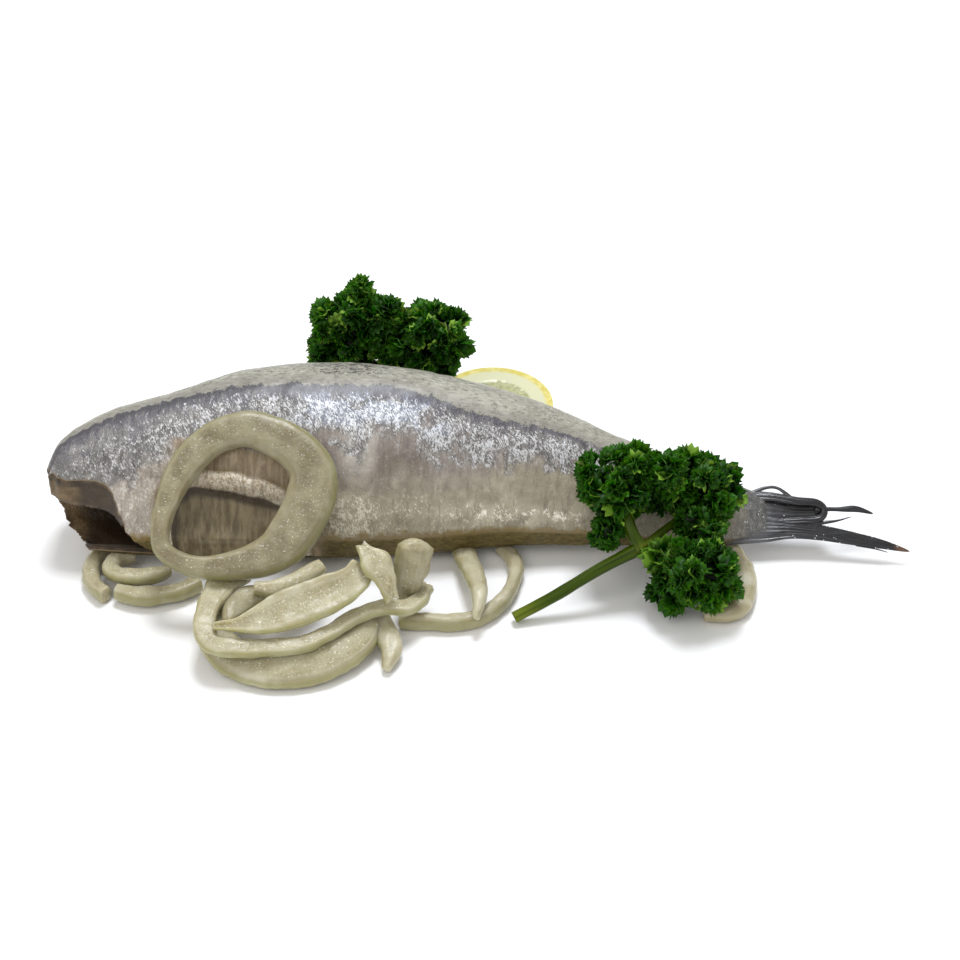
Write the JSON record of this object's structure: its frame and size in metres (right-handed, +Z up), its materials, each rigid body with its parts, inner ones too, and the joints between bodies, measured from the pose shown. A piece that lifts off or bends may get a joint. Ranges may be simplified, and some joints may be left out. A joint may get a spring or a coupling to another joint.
{
  "type": "salted herring",
  "caption": "Headless gutted salted herring lying on sliced onion, with an onion ring on its flank, curly parsley and a lemon slice.",
  "frame": {"origin": "on the surface the food lies on, under the middle of its bounding box", "axes": "+X from the cut neck to the tail, +Y from the belly to the back, +Z up"},
  "size_m": [0.238, 0.1336, 0.0507],
  "materials": {
    "herring_skin": "wet silver fish skin, glossy",
    "onion": "wet translucent onion",
    "parsley": "fresh green leaf, slightly waxy",
    "lemon": "lemon rind, white pith and pale pulp"
  },
  "bodies": {
    "root": {"herring": "herring_skin", "onion_ring_flank": "onion", "onion_arc_front": "onion", "onion_arc_upper": "onion", "onion_crescent": "onion", "onion_arc_inner": "onion", "onion_strip_short": "onion", "onion_flap_torn": "onion", "onion_stub_upright": "onion", "onion_stub_front": "onion", "onion_loop_floor": "onion", "onion_strip_belly": "onion", "onion_loop_neck": "onion", "onion_strip_neck": "onion", "onion_strip_neck_front": "onion", "onion_arc_tail": "onion", "parsley_sprig_front": "parsley", "parsley_sprig_back": "parsley", "lemon_slice": "lemon"}
  },
  "joints": []
}
